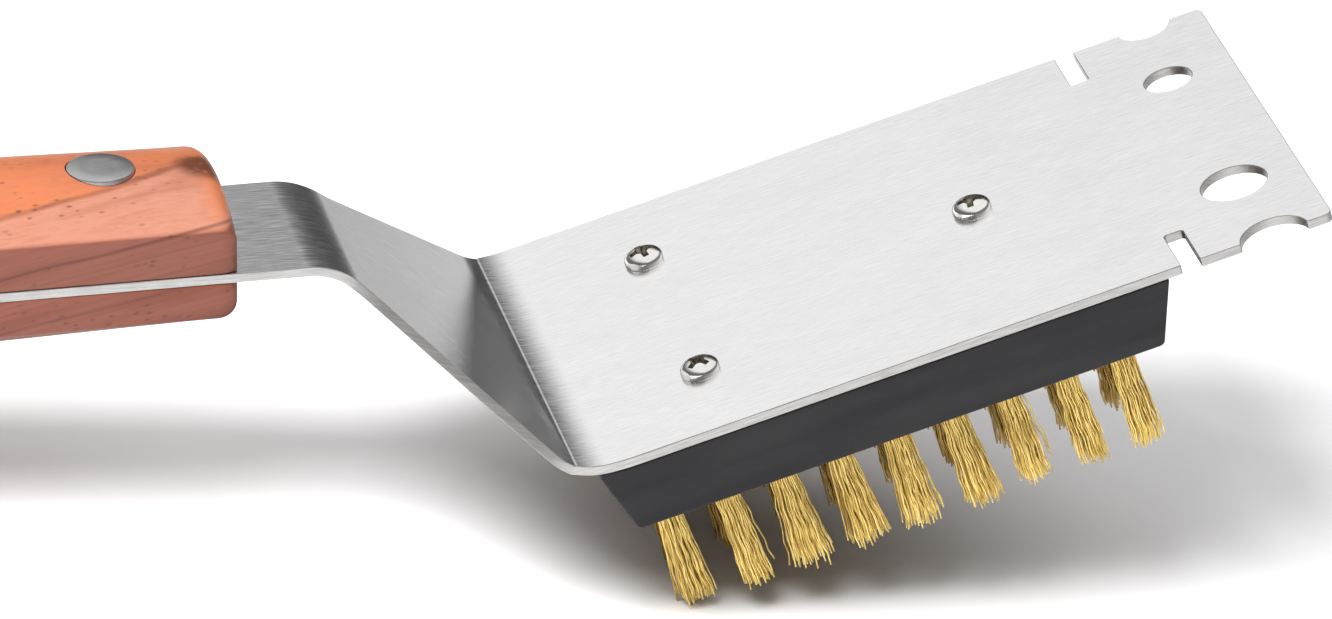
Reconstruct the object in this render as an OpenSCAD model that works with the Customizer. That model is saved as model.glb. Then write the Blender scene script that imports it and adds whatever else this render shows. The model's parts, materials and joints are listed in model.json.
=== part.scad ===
// Grill cleaning brush: a bent steel scraper plate and tang in one piece, a riveted
// two-scale wooden handle, and a moulded block of brass bristle tufts screwed underneath.
// It lies as the real brush rests: on the tips of its first column of tufts and on its butt.

/* [Scraper plate] */
// Width of the scraper plate
plate_w = 76; // [72:0.5:80]
// Length of the plate, from the line of the bend to the scraping edge
plate_l = 119; // [117:0.5:125]
// Thickness of the sheet steel of the plate, neck and tang
sheet_t = 1.5; // [1.2:0.1:2]
// Radius of the corners at the scraping edge
tip_corner_r = 1.2; // [0.5:0.1:2]
// Distance from the bend to the pair of slots for cleaning single bars
slot_x = 95; // [94:0.5:97]
// Width of each slot
slot_w = 3; // [2:0.5:4]
// Depth of each slot, from the plate's side
slot_depth = 10.3; // [6:0.1:12]
// Distance from the bend to the centres of the two round holes
hole_x = 108.6; // [107:0.1:110]
// Distance of each round hole from the plate's centre line
hole_offset = 19.2; // [16:0.1:22]
// Diameter of the large round hole
large_hole_d = 10.3; // [8:0.1:11]
// Diameter of the small round hole
small_hole_d = 7.6; // [6:0.1:8]
// Distance from the bend to the centres of the two rounded notches
notch_x = 109.7; // [109:0.1:111]
// Radius of the large notch, on the side of the large hole
large_notch_r = 5.3; // [4:0.1:5.5]
// Radius of the small notch, on the side of the small hole
small_notch_r = 4.2; // [3:0.1:5]

/* [Neck and tang] */
// Height of the tang's bend above the plate
neck_rise = 34.8; // [30:0.1:38]
// Distance from the plate's bend back to the tang's bend
neck_run = 23.4; // [22:0.1:27]
// Rise of the tang away from the line of the plate, in degrees
tang_angle = 16; // [12:0.5:18]
// Width of the tang and of the handle
tang_w = 30.9; // [28:0.1:33]
// Width of the neck where it meets the plate's bend
neck_wide = 71.2; // [68:0.1:72]
// Outside radius of the bend between tang and neck
tang_bend_r = 12; // [10:0.5:13]
// Inside radius of the bend between neck and plate
plate_bend_r = 6; // [4:0.5:7]

/* [Handle] */
// Length of the wooden handle
handle_l = 280.5; // [250:0.5:300]
// Bare tang between its bend and the handle
bare_tang = 14.7; // [12:0.1:20]
// Height of the upper scale's sides
upper_side = 7; // [6:0.1:8]
// Height of the lower scale's sides
lower_side = 5.6; // [5:0.1:7]
// Crown of each scale above its sides, at the ends
crown_end = 3.4; // [3:0.1:4]
// Further crown at the middle of the handle
crown_swell = 3; // [2:0.1:4]
// Radius of the edges at the ends of the handle
end_edge_r = 3; // [2:0.5:3.5]
// Radius of the handle's corners at the butt, in plan
butt_corner_r = 12; // [8:1:14]
// Diameter of the hole for hanging, at the butt
hang_hole_d = 8; // [5:0.5:10]
// Distance of the hanging hole from the butt
hang_hole_inset = 14; // [13:1:18]

/* [Rivets] */
// Diameter of the rivet heads
rivet_head_d = 10.3; // [8:0.1:11]
// Thickness of the rivet heads
rivet_head_t = 2.5; // [2:0.1:3]
// Height of the rivet heads above the wood
rivet_proud = 0.3; // [0:0.1:0.5]
// Outside diameter of the rivet sleeve
rivet_sleeve_d = 6.4; // [5:0.1:7]
// Diameter of the rivet post
rivet_post_d = 4.6; // [3:0.1:5]
// Distance of the first rivet from the front of the handle
first_rivet = 18; // [14:0.1:22]
// Distance of the last rivet from the butt
last_rivet = 42; // [38:1:60]

/* [Brush block] */
// Distance from the bend to the block's near end, along its top
block_start = 2.8; // [2.8:0.1:4]
// Length of the block along its top
block_l = 90.2; // [90:0.1:91]
// Height of the block
block_h = 10.7; // [10:0.1:14]
// Slope of the block's ends, in degrees
block_draft = 18; // [10:1:20]
// Distance of the block's sides inside the plate's sides
block_inset = 0.3; // [0:0.1:1]
// Radius of the block's lower end corners
block_corner_r = 1; // [0.8:0.1:3]

/* [Bristles] */
// Tufts in each row along the block
tuft_cols = 9; // [9:1:9]
// Rows of tufts across the block
tuft_rows = 5; // [5:1:5]
// Spacing of the tufts along a row
tuft_pitch_x = 9; // [8.8:0.1:9.2]
// Spacing of the rows
tuft_pitch_y = 13.5; // [12:0.5:14]
// Free length of the bristles
bristle_l = 20.3; // [18:0.1:25]
// Diameter of the tuft holes
tuft_root_d = 3.6; // [3:0.1:3.8]
// Diameter of a tuft across its spread tips
tuft_tip_d = 6.2; // [5:0.1:7]
// Depth of the tuft holes
tuft_depth = 6; // [5:0.1:6.2]

/* [Screws] */
// Distance from the bend to the pair of screws
screw_pair_x = 23.4; // [22:0.1:25]
// Distance of the pair of screws from the centre line
screw_pair_y = 19.6; // [18:0.1:21]
// Distance from the bend to the single screw on the centre line
screw_single_x = 71.7; // [71:0.1:72]
// Diameter of the screw heads
screw_head_d = 6; // [5:0.1:7]
// Height of the screw heads
screw_head_h = 2; // [1.8:0.1:2.6]
// Diameter of the screws' shanks
screw_shank_d = 2.8; // [2.5:0.1:3]
// Length of the screws below their heads
screw_l = 6.2; // [5.5:0.1:6.5]

/* [Hidden] */
SCREWS = 3;
RIVETS = 3;
TUFTS = [for (row = [1:tuft_rows]) for (col = [1:tuft_cols]) str("tuft_", row, "_", col)];

$fn = 64;
overcut = 1;
arc_steps = 10;
// Distance past the bends at which the sheet's sides change direction
past_bend = 0.3;
// Angle at which a rounded corner leaves the side of a strip
corner_start = 86;

// Sheet: the neck slopes at neck_angle, and each bend's tangent length is
// its radius times the tangent of half its turn.
neck_angle = atan2(neck_rise, neck_run);
neck_length = norm([neck_run, neck_rise]);
tang_turn = neck_angle - tang_angle;
tang_setback = tang_bend_r * tan(tang_turn / 2);
plate_setback = plate_bend_r * tan(neck_angle / 2);

// Handle: distances are along the tang from its bend.
handle_start = bare_tang;
handle_end = bare_tang + handle_l;
handle_mid = (handle_start + handle_end) / 2;
rivet_places = [handle_start + first_rivet, handle_mid, handle_end - last_rivet];
hang_hole_s = handle_end - hang_hole_inset;
half_w = tang_w / 2;
end_steps = 4;
butt_steps = 8;
span_steps = 12;
slice_t = 0.02;
post_gap = 1.5;

// Brush: heights are below the plate's upper face.
block_top = -sheet_t;
block_bottom = block_top - block_h;
block_mid_x = block_start + block_l / 2;
block_w = plate_w - 2 * block_inset;
tip_z = block_bottom - bristle_l;
tuft_hole_top = block_bottom + tuft_depth;
first_tuft_x = block_mid_x - (tuft_cols - 1) / 2 * tuft_pitch_x;
anchor_l = 5.4;
anchor_t = 0.4;
anchor_h = 1.4;
anchor_gap = 0.6;
anchor_z = tuft_hole_top - anchor_gap - anchor_h;

screw_places = [
    [screw_pair_x, screw_pair_y],
    [screw_pair_x, -screw_pair_y],
    [screw_single_x, 0]
];
screw_clearance = 0.4;
screw_point_h = 1.2;
head_side_h = 0.5;
recess_w = 0.9;
recess_l = 4;
recess_depth = 1.3;
notch_beyond = 0.6;

// Rest: the brush touches the table with the outer tip edge of its first tufts and
// with the rounded lower edge of its butt, so the table is the tangent to both.
rest_tuft = [first_tuft_x - tuft_tip_d / 2, tip_z];
butt_low = handle_point(handle_end - end_edge_r, end_edge_r - sheet_t - lower_side - crown_end);
to_butt = butt_low - rest_tuft;
rest_angle = atan2(to_butt[1], -to_butt[0]) - asin(end_edge_r / norm(to_butt));
butt_high = handle_point(handle_end - end_edge_r, upper_side + crown_end - end_edge_r);
lowest_x = on_table(butt_high)[0] - end_edge_r;
highest_x = on_table([plate_l, -sheet_t])[0];
origin_shift = [-(lowest_x + highest_x) / 2, 0, -on_table(rest_tuft)[1]];

// A point of the handle, given by its distance along the tang and its height
// above the tang's upper face, as [x, z] in the plate's frame
function handle_point(s, n) = [
    -neck_run - s * cos(tang_angle) + n * sin(tang_angle),
    neck_rise + s * sin(tang_angle) + n * cos(tang_angle)
];

// A point [x, z] of the plate's frame, turned to the table's directions
function on_table(p) = [
    p[0] * cos(rest_angle) - p[1] * sin(rest_angle),
    p[0] * sin(rest_angle) + p[1] * cos(rest_angle)
];

// Crown of a scale above its sides, at distance s along the tang
function crown(s) =
    crown_end + crown_swell * (1 - pow((s - handle_mid) / (handle_l / 2), 4));

// Height of a rivet head's top above a scale's sides
function head_top(s) = crown(s) + rivet_proud;

// How far a rounded edge of radius r has drawn in, at distance e from the end
function drawn_in(e, r) = e >= r ? 0 : r - sqrt(r * r - pow(r - e, 2));

// Distances from an end at which a rounded edge of radius r is cut into slices
function round_cuts(r, steps) = [for (i = [0:steps]) r * (1 - cos(90 * i / steps))];

// Outline of one section of a scale: half width w, side height h and crown c
function scale_section(w, h, c, steps = 16) = concat(
    [[-w, 0], [w, 0]],
    [for (i = [0:steps]) crown_point(w, h, c, 1 - 2 * i / steps)]
);

// Point of the crown's arc at u, from -1 at one side to 1 at the other
function crown_point(w, h, c, u) =
    let (r = (w * w + c * c) / (2 * c), half = asin(w / r))
    [r * sin(half * u), h + c - r + r * cos(half * u)];

// Puts a part drawn in the plate's frame into its resting place on the table
module rested() {
    translate(origin_shift)
        rotate([0, -rest_angle, 0])
            children();
}

// Puts a part drawn along +X from the tang's bend into its place on the tang
module on_tang() {
    rested()
        translate([-neck_run, 0, neck_rise])
            rotate([0, tang_angle, 0])
                rotate([0, 0, 180])
                    children();
}

// Points of an arc about centre c with radius r, from angle a0 to a1
function arc(c, r, a0, a1) =
    [for (i = [0:arc_steps]) let (a = a0 + (a1 - a0) * i / arc_steps) c + r * [cos(a), sin(a)]];

// What is cut away at the end of a strip of width w that ends at length, to leave
// corners of radius r there
module end_waste(length, w, r) {
    centre = [length - r, w / 2 - r];
    first = centre + r * [cos(corner_start), sin(corner_start)];
    corner = concat([[first[0], w]], arc(centre, r, corner_start, 0));
    polygon(concat(
        corner,
        [for (i = [len(corner) - 1:-1:0]) [corner[i][0], -corner[i][1]]],
        [[length + 2 * overcut, -w], [length + 2 * overcut, w]]
    ));
}

// What is cut out of the plate: slots, holes, notches and the corners of its edge
module plate_waste() {
    for (flip = [0, 1])
        mirror([0, flip, 0])
            translate([slot_x, plate_w / 2 - slot_depth])
                square([slot_w, slot_depth + overcut]);
    translate([hole_x, hole_offset])
        circle(d = small_hole_d);
    translate([hole_x, -hole_offset])
        circle(d = large_hole_d);
    translate([notch_x, plate_w / 2 + notch_beyond])
        circle(r = small_notch_r);
    translate([notch_x, -plate_w / 2 - notch_beyond])
        circle(r = large_notch_r);
    for (place = screw_places)
        translate(place)
            circle(d = screw_shank_d + screw_clearance);
    end_waste(plate_l, plate_w, tip_corner_r);
}

// What is cut out of the tang: the holes for rivets and hanging, and its butt's corners
module tang_waste() {
    for (s = rivet_places)
        translate([s, 0])
            circle(d = rivet_sleeve_d);
    translate([hang_hole_s, 0])
        circle(d = hang_hole_d);
    end_waste(handle_end, tang_w, butt_corner_r);
}

// Outline of the sheet's sides, seen square to the neck: as wide as the tang, then
// widening along the neck, then as wide as the plate
module side_outline() {
    half = [
        [-handle_end, half_w],
        [tang_setback + past_bend, half_w],
        [neck_length - plate_setback, neck_wide / 2],
        [neck_length + plate_setback * cos(neck_angle) + past_bend, plate_w / 2],
        [neck_length + plate_l, plate_w / 2]
    ];
    polygon(concat(
        [for (p = half) [p[0], -p[1]]],
        [for (i = [len(half) - 1:-1:0]) half[i]]
    ));
}

// The sheet seen from the side: tang, bend, neck, bend and plate
module side_profile() {
    middle = 90 - (neck_angle + tang_angle) / 2;
    reach = tang_bend_r / cos(tang_turn / 2);
    tang_centre = [-neck_run - reach * cos(middle), neck_rise - reach * sin(middle)];
    plate_centre = [plate_setback, plate_bend_r];
    tang_up = 90 - tang_angle;
    neck_up = 90 - neck_angle;
    polygon(concat(
        [handle_point(handle_end + overcut, 0)],
        arc(tang_centre, tang_bend_r, tang_up, neck_up),
        arc(plate_centre, plate_bend_r, 180 + neck_up, 270),
        [[plate_l + overcut, 0], [plate_l + overcut, -sheet_t]],
        arc(plate_centre, plate_bend_r + sheet_t, 270, 180 + neck_up),
        arc(tang_centre, tang_bend_r - sheet_t, neck_up, tang_up),
        [handle_point(handle_end + overcut, -sheet_t)]
    ));
}

// Cuts its outline through the sheet, from over its upper face to below its lower one
module cut_through() {
    translate([0, 0, -sheet_t - overcut])
        linear_extrude(sheet_t + 2 * overcut)
            children();
}

// One bent piece of steel: tang, neck and scraper plate
module spine() {
    color("gainsboro")
        difference() {
            rested()
                intersection() {
                    translate([0, plate_w, 0])
                        rotate([90, 0, 0])
                            linear_extrude(2 * plate_w)
                                side_profile();
                    translate([-neck_run, 0, neck_rise])
                        rotate([0, neck_angle, 0])
                            translate([0, 0, -handle_end])
                                linear_extrude(2 * handle_end)
                                    side_outline();
                }
            rested()
                cut_through()
                    plate_waste();
            on_tang()
                cut_through()
                    tang_waste();
        }
}

// One section of a scale at distance s along the tang, with its width drawn in by
// narrowed and its height by lowered
module scale_slice(s, side_h, narrowed, lowered) {
    w = half_w - narrowed;
    kept = pow(w / half_w, 2);
    c = crown(s);
    translate([s, 0, 0])
        rotate([90, 0, 90])
            linear_extrude(slice_t)
                polygon(scale_section(w, side_h + c * (1 - kept) - lowered, c * kept));
}

// Solid of one scale, standing on the tang, with rounded ends
module scale_body(side_h) {
    hull() {
        for (e = round_cuts(end_edge_r, end_steps))
            scale_slice(handle_start + e, side_h, drawn_in(e, end_edge_r) / 2, drawn_in(e, end_edge_r));
        for (i = [1:span_steps - 1])
            scale_slice(handle_start + handle_l * i / span_steps, side_h, 0, 0);
        for (e = round_cuts(butt_corner_r, butt_steps))
            scale_slice(
                handle_end - e - slice_t,
                side_h,
                drawn_in(e, butt_corner_r),
                drawn_in(e, end_edge_r)
            );
    }
}

// One scale with its rivet holes, counterbores and half of the hanging hole
module handle_scale(side_h) {
    difference() {
        scale_body(side_h);
        for (s = rivet_places)
            translate([s, 0, -overcut]) {
                cylinder(d = rivet_sleeve_d, h = side_h + crown(s) + 2 * overcut);
                translate([0, 0, side_h + head_top(s) + overcut - rivet_head_t])
                    cylinder(d = rivet_head_d, h = rivet_head_t + overcut);
            }
        translate([hang_hole_s, 0, -overcut])
            cylinder(d = hang_hole_d, h = side_h + crown(hang_hole_s) + 2 * overcut);
    }
}

// Wooden scale above the tang
module handle_scale_upper() {
    color("peru")
        on_tang()
            handle_scale(upper_side);
}

// Wooden scale below the tang
module handle_scale_lower() {
    color("peru")
        on_tang()
            translate([0, 0, -sheet_t])
                mirror([0, 0, 1])
                    handle_scale(lower_side);
}

// Upper half of rivet i: a low head and a solid post
module rivet_post(i) {
    s = rivet_places[i - 1];
    head_low = upper_side + head_top(s) - rivet_head_t;
    post_end = -sheet_t - lower_side - head_top(s) + rivet_head_t + post_gap;
    color("darkgray")
        on_tang()
            translate([s, 0, 0]) {
                translate([0, 0, head_low])
                    cylinder(d = rivet_head_d, h = rivet_head_t);
                translate([0, 0, post_end])
                    cylinder(d = rivet_post_d, h = head_low - post_end + rivet_head_t / 2);
            }
}

// Lower half of rivet i: a low head and a sleeve that grips the post
module rivet_sleeve(i) {
    s = rivet_places[i - 1];
    sleeve_end = upper_side + head_top(s) - rivet_head_t;
    head_low = -sheet_t - lower_side - head_top(s);
    color("darkgray")
        on_tang()
            translate([s, 0, head_low])
                difference() {
                    union() {
                        cylinder(d = rivet_head_d, h = rivet_head_t);
                        cylinder(d = rivet_sleeve_d, h = sleeve_end - head_low);
                    }
                    translate([0, 0, rivet_head_t])
                        cylinder(d = rivet_post_d, h = sleeve_end - head_low);
                }
}

// Points of the block's rounded lower corner at the handle's end, seen from the side
function block_corner() =
    let (
        low_x = block_start + block_h * tan(block_draft),
        centre = [low_x + block_corner_r * tan(45 - block_draft / 2), block_bottom + block_corner_r]
    )
    [for (i = [0:6]) let (a = 180 + block_draft + (90 - block_draft) * i / 6)
        centre + block_corner_r * [cos(a), sin(a)]];

// Side outline of the block, symmetric about its middle
function block_outline() =
    let (half = concat([[block_start, block_top]], block_corner()), last = len(half) - 1)
    concat(half, [for (i = [last:-1:0]) [2 * block_mid_x - half[i][0], half[i][1]]]);

// Places its children at every tuft
module at_tufts() {
    for (row = [1:tuft_rows])
        for (col = [1:tuft_cols])
            at_tuft(row, col)
                children();
}

// Places its children at the tuft of one row and column
module at_tuft(row, col) {
    translate([
        first_tuft_x + (col - 1) * tuft_pitch_x,
        (row - (tuft_rows + 1) / 2) * tuft_pitch_y,
        0
    ])
        children();
}

// Wire clip that is driven across the folded middle of a tuft
module anchor() {
    translate([-anchor_t / 2, -anchor_l / 2, anchor_z])
        cube([anchor_t, anchor_l, anchor_h]);
}

// Moulded block that holds the tufts, screwed under the plate
module brush_block() {
    color("dimgray")
        rested()
            difference() {
                translate([0, block_w / 2, 0])
                    rotate([90, 0, 0])
                        linear_extrude(block_w)
                            polygon(block_outline());
                at_tufts() {
                    translate([0, 0, block_bottom - overcut])
                        cylinder(d = tuft_root_d, h = tuft_depth + overcut);
                    anchor();
                }
                for (place = screw_places)
                    translate(place)
                        screw_shank();
            }
}

// Wire clips of all the tufts
module tuft_anchors() {
    color("silver")
        rested()
            at_tufts()
                anchor();
}

// One tuft of bristles: a packed root in its hole and a spread brush below it
module tuft(row, col) {
    color("goldenrod")
        rested()
            at_tuft(row, col)
                difference() {
                    rotate_extrude()
                        polygon([
                            [0, tip_z],
                            [tuft_tip_d / 2, tip_z],
                            [tuft_root_d / 2, block_bottom],
                            [tuft_root_d / 2, tuft_hole_top],
                            [0, tuft_hole_top]
                        ]);
                    anchor();
                }
}

// Shank of a screw, pointed at its end, hanging from the plate's upper face
module screw_shank() {
    translate([0, 0, screw_point_h - screw_l])
        cylinder(d = screw_shank_d, h = screw_l - screw_point_h + head_side_h);
    translate([0, 0, -screw_l])
        cylinder(d1 = screw_shank_d / 4, d2 = screw_shank_d, h = screw_point_h);
}

// Domed pan head with a cross recess
module screw_head() {
    dome_h = screw_head_h - head_side_h;
    dome_r = (pow(screw_head_d / 2, 2) + dome_h * dome_h) / (2 * dome_h);
    difference() {
        intersection() {
            cylinder(d = screw_head_d, h = screw_head_h);
            translate([0, 0, screw_head_h - dome_r])
                sphere(r = dome_r);
        }
        for (turn = [0, 90])
            rotate([0, 0, turn])
                translate([-recess_l / 2, -recess_w / 2, screw_head_h - recess_depth])
                    cube([recess_l, recess_w, recess_depth + overcut]);
    }
}

// Screw i, through the plate into the block
module screw(i) {
    color("silver")
        rested()
            translate(screw_places[i - 1]) {
                screw_head();
                screw_shank();
            }
}

spine();
handle_scale_upper();
handle_scale_lower();
brush_block();
tuft_anchors();
for (i = [1:RIVETS]) {
    rivet_post(i);
    rivet_sleeve(i);
}
for (i = [1:SCREWS])
    screw(i);
for (row = [1:tuft_rows])
    for (col = [1:tuft_cols])
        tuft(row, col);
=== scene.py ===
"""Grill cleaning brush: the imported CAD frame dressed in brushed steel, lacquered wood, moulded
plastic and crimped brass wire, on a pale floor."""

import json
import math
import random

import bpy
from mathutils import Matrix, Vector
from mathutils.geometry import delaunay_2d_cdt


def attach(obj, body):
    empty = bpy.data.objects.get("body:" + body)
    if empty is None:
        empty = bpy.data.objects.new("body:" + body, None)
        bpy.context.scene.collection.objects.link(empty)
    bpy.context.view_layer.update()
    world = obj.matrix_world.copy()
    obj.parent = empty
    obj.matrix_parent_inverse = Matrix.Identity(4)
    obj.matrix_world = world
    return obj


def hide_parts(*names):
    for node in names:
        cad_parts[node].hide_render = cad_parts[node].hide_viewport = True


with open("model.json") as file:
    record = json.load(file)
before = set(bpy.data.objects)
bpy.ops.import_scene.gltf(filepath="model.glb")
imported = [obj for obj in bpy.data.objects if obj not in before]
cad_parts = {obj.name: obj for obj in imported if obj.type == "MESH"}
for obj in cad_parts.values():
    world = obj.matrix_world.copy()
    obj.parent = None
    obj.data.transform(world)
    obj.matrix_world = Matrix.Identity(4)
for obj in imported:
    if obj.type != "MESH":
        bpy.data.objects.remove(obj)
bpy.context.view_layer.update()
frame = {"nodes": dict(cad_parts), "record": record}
bpy.context.scene.view_settings.view_transform = "Standard"

# ---------------------------------------------------------------- sizes, in millimetres
MM = 0.001
PLATE_W, PLATE_L, SHEET_T = 76.0, 119.0, 1.5
TIP_R = 1.2
SLOT_X, SLOT_W, SLOT_DEPTH = 95.0, 3.0, 10.3
HOLE_X, HOLE_OFFSET = 108.6, 19.2
LARGE_HOLE_R, SMALL_HOLE_R = 5.15, 3.8
NOTCH_X, LARGE_NOTCH_R, SMALL_NOTCH_R, NOTCH_BEYOND = 109.7, 5.3, 4.2, 0.6
NECK_RISE, NECK_RUN, TANG_ANGLE = 34.8, 23.4, math.radians(16)
TANG_W, NECK_WIDE = 30.9, 71.2
TANG_BEND_R, PLATE_BEND_R = 12.0, 6.0
HANDLE_L, BARE_TANG = 280.5, 14.7
UPPER_SIDE, LOWER_SIDE, CROWN_END, CROWN_SWELL = 7.0, 5.6, 3.4, 3.0
END_R, BUTT_R = 3.0, 12.0
HANG_R, HANG_INSET = 4.0, 14.0
RIVET_HEAD_R, RIVET_HEAD_T, RIVET_SLEEVE_R, RIVET_POST_R = 5.15, 2.5, 3.2, 2.3
FIRST_RIVET, LAST_RIVET, RIVET_PROUD = 18.0, 42.0, 0.3
BLOCK_START, BLOCK_L, BLOCK_H, BLOCK_INSET = 2.8, 90.2, 10.7, 0.3
BLOCK_DRAFT, BLOCK_CORNER_R = math.radians(18), 1.0
TUFT_COLS, TUFT_ROWS, TUFT_PITCH_X, TUFT_PITCH_Y = 9, 5, 9.0, 13.5
BRISTLE_L, TUFT_ROOT_R, TUFT_DEPTH = 20.3, 1.8, 6.0
SCREW_HEAD_R, SCREW_HEAD_H, SCREW_SIDE, SCREW_SHANK_R, SCREW_L = 3.0, 2.0, 0.5, 1.4, 6.2
SCREW_GAP = 0.2  # round each screw in the plate
SCREWS = [(23.4, 19.6, 12), (23.4, -19.6, 40), (71.7, 0.0, -8)]  # x, y and turn in degrees

HALF_W = TANG_W / 2
HANDLE_START, HANDLE_END = BARE_TANG, BARE_TANG + HANDLE_L
HANDLE_MID = (HANDLE_START + HANDLE_END) / 2
RIVETS = [HANDLE_START + FIRST_RIVET, HANDLE_MID, HANDLE_END - LAST_RIVET]
HANG_S = HANDLE_END - HANG_INSET
NECK_ANGLE = math.atan2(NECK_RISE, NECK_RUN)
NECK_LENGTH = math.hypot(NECK_RUN, NECK_RISE)
TANG_TURN = NECK_ANGLE - TANG_ANGLE
TANG_SETBACK = TANG_BEND_R * math.tan(TANG_TURN / 2)
PLATE_SETBACK = PLATE_BEND_R * math.tan(NECK_ANGLE / 2)
BLOCK_TOP = -SHEET_T
BLOCK_BOTTOM = BLOCK_TOP - BLOCK_H
BLOCK_MID = BLOCK_START + BLOCK_L / 2
FIRST_TUFT = BLOCK_MID - (TUFT_COLS - 1) / 2 * TUFT_PITCH_X
OUTER_ROWS = 23.5  # from the centre line to the inner side of the outermost rows of tufts

# ---------------------------------------------------------------- the two working frames
mounts = {m["name"]: m for m in frame["record"]["mounts"]}
hole_at = Vector(mounts["large_hole"]["pos_m"])
plate_up = Vector(mounts["large_hole"]["axis"]).normalized()
ACROSS = Vector((0, 1, 0))
plate_along = ACROSS.cross(plate_up)


def axes_matrix(x, y, z, origin):
    """Matrix from millimetres along three unit axes to metres in the row's frame."""
    m = Matrix((x, y, z)).transposed().to_4x4()
    return Matrix.Translation(origin) @ m @ Matrix.Scale(MM, 4)


plate_origin = hole_at - MM * (
    HOLE_X * plate_along - HOLE_OFFSET * ACROSS - SHEET_T / 2 * plate_up
)
PLATE = axes_matrix(plate_along, ACROSS, plate_up, plate_origin)
# The tang's frame has its origin where the tang meets the neck, and x towards the butt.
tang_back = -math.cos(TANG_ANGLE) * plate_along + math.sin(TANG_ANGLE) * plate_up
tang_up = math.sin(TANG_ANGLE) * plate_along + math.cos(TANG_ANGLE) * plate_up
TANG = axes_matrix(
    tang_back, tang_up.cross(tang_back), tang_up, PLATE @ Vector((-NECK_RUN, 0, NECK_RISE))
)


def crown(s):
    """Crown of a scale above its sides, at distance s along the tang."""
    return CROWN_END + CROWN_SWELL * (1 - ((s - HANDLE_MID) / (HANDLE_L / 2)) ** 4)


# ---------------------------------------------------------------- mesh helpers
def mesh_object(name, verts, faces):
    """New object in the scene, from points and faces."""
    mesh = bpy.data.meshes.new(name)
    mesh.from_pydata(verts, [], faces)
    mesh.validate()
    obj = bpy.data.objects.new(name, mesh)
    bpy.context.scene.collection.objects.link(obj)
    return obj


def finished(obj, matrix, material, nodes, angle=35):
    """Puts a piece in place, shades it with edges sharp past an angle (0 for none), and ties
    it to the frame."""
    mesh = obj.data
    mesh.transform(matrix)
    mesh.shade_smooth()
    if angle:
        mesh.set_sharp_from_angle(angle=math.radians(angle))
    mesh.materials.clear()
    mesh.materials.append(material)
    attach(obj, "root")
    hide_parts(*nodes)


def weigh_normals(obj):
    """Keeps flat faces flat beside their rounded edges."""
    mod = obj.modifiers.new("normals", "WEIGHTED_NORMAL")
    mod.keep_sharp = True
    mod.weight = 100


def cut(obj, cutters):
    """Cuts closed cutter objects out of obj, and removes them."""
    for cutter in cutters:
        mod = obj.modifiers.new("cut", "BOOLEAN")
        mod.operation = "DIFFERENCE"
        mod.solver = "EXACT"
        mod.object = cutter
    depsgraph = bpy.context.evaluated_depsgraph_get()
    new_mesh = bpy.data.meshes.new_from_object(obj.evaluated_get(depsgraph))
    obj.modifiers.clear()
    obj.data = new_mesh
    for cutter in cutters:
        bpy.data.objects.remove(cutter)


def lathe(name, profile, x, y, steps=48):
    """Closed solid turned about an upright axis at (x, y), from (radius, height) points: from
    its bottom to its top, which are both on the axis."""
    verts, faces = [], []
    rings = profile[1:-1]
    for r, z in rings:
        for i in range(steps):
            a = 2 * math.pi * i / steps
            verts.append((x + r * math.cos(a), y + r * math.sin(a), z))
    for k in range(len(rings) - 1):
        for i in range(steps):
            j = (i + 1) % steps
            faces.append((k * steps + i, k * steps + j, (k + 1) * steps + j, (k + 1) * steps + i))
    for end, ring in ((0, 0), (-1, len(rings) - 1)):
        centre = len(verts)
        verts.append((x, y, profile[end][1]))
        for i in range(steps):
            j = (i + 1) % steps
            a, b = ring * steps + i, ring * steps + j
            faces.append((centre, b, a) if end == 0 else (centre, a, b))
    return mesh_object(name, verts, faces)


def arc(cx, cy, r, a0, a1, steps):
    """Points of an arc, with angles in degrees."""
    return [
        (cx + r * math.cos(math.radians(a0 + (a1 - a0) * i / steps)),
         cy + r * math.sin(math.radians(a0 + (a1 - a0) * i / steps)))
        for i in range(steps + 1)
    ]


def filleted(corners, steps=4, closed=False):
    """Polyline through (x, y, r) corners, with each corner of r above 0 rounded."""
    out, n = [], len(corners)
    for i, (x, y, r) in enumerate(corners):
        if r <= 0 or (not closed and i in (0, n - 1)):
            out.append((x, y))
            continue
        here = Vector((x, y))
        before = (Vector(corners[i - 1][:2]) - here).normalized()
        after = (Vector(corners[(i + 1) % n][:2]) - here).normalized()
        half = before.angle(after) / 2
        if half > math.radians(89):
            out.append((x, y))
            continue
        centre = here + (before + after).normalized() * (r / math.sin(half))
        start = here + before * (r / math.tan(half)) - centre
        turn = start.angle_signed(here + after * (r / math.tan(half)) - centre)
        for k in range(steps + 1):
            p = centre + Matrix.Rotation(-turn * k / steps, 2) @ start
            out.append((p.x, p.y))
    return out


def inside(p, ring):
    """Whether a point is inside a closed polyline."""
    hit = False
    for i in range(len(ring)):
        (x0, y0), (x1, y1) = ring[i - 1], ring[i]
        if (y0 > p[1]) != (y1 > p[1]) and p[0] < x0 + (p[1] - y0) / (y1 - y0) * (x1 - x0):
            hit = not hit
    return hit


def mitre(ring, i):
    """Step at point i that moves both of its edges by one, to the left of the ring."""
    here, before, after = Vector(ring[i]), Vector(ring[i - 1]), Vector(ring[(i + 1) % len(ring)])
    a, b = (here - before).normalized(), (after - here).normalized()
    left_a, left_b = Vector((-a.y, a.x)), Vector((-b.y, b.x))
    return (left_a + left_b) / max(0.5, 1 + left_a.dot(left_b))


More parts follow.
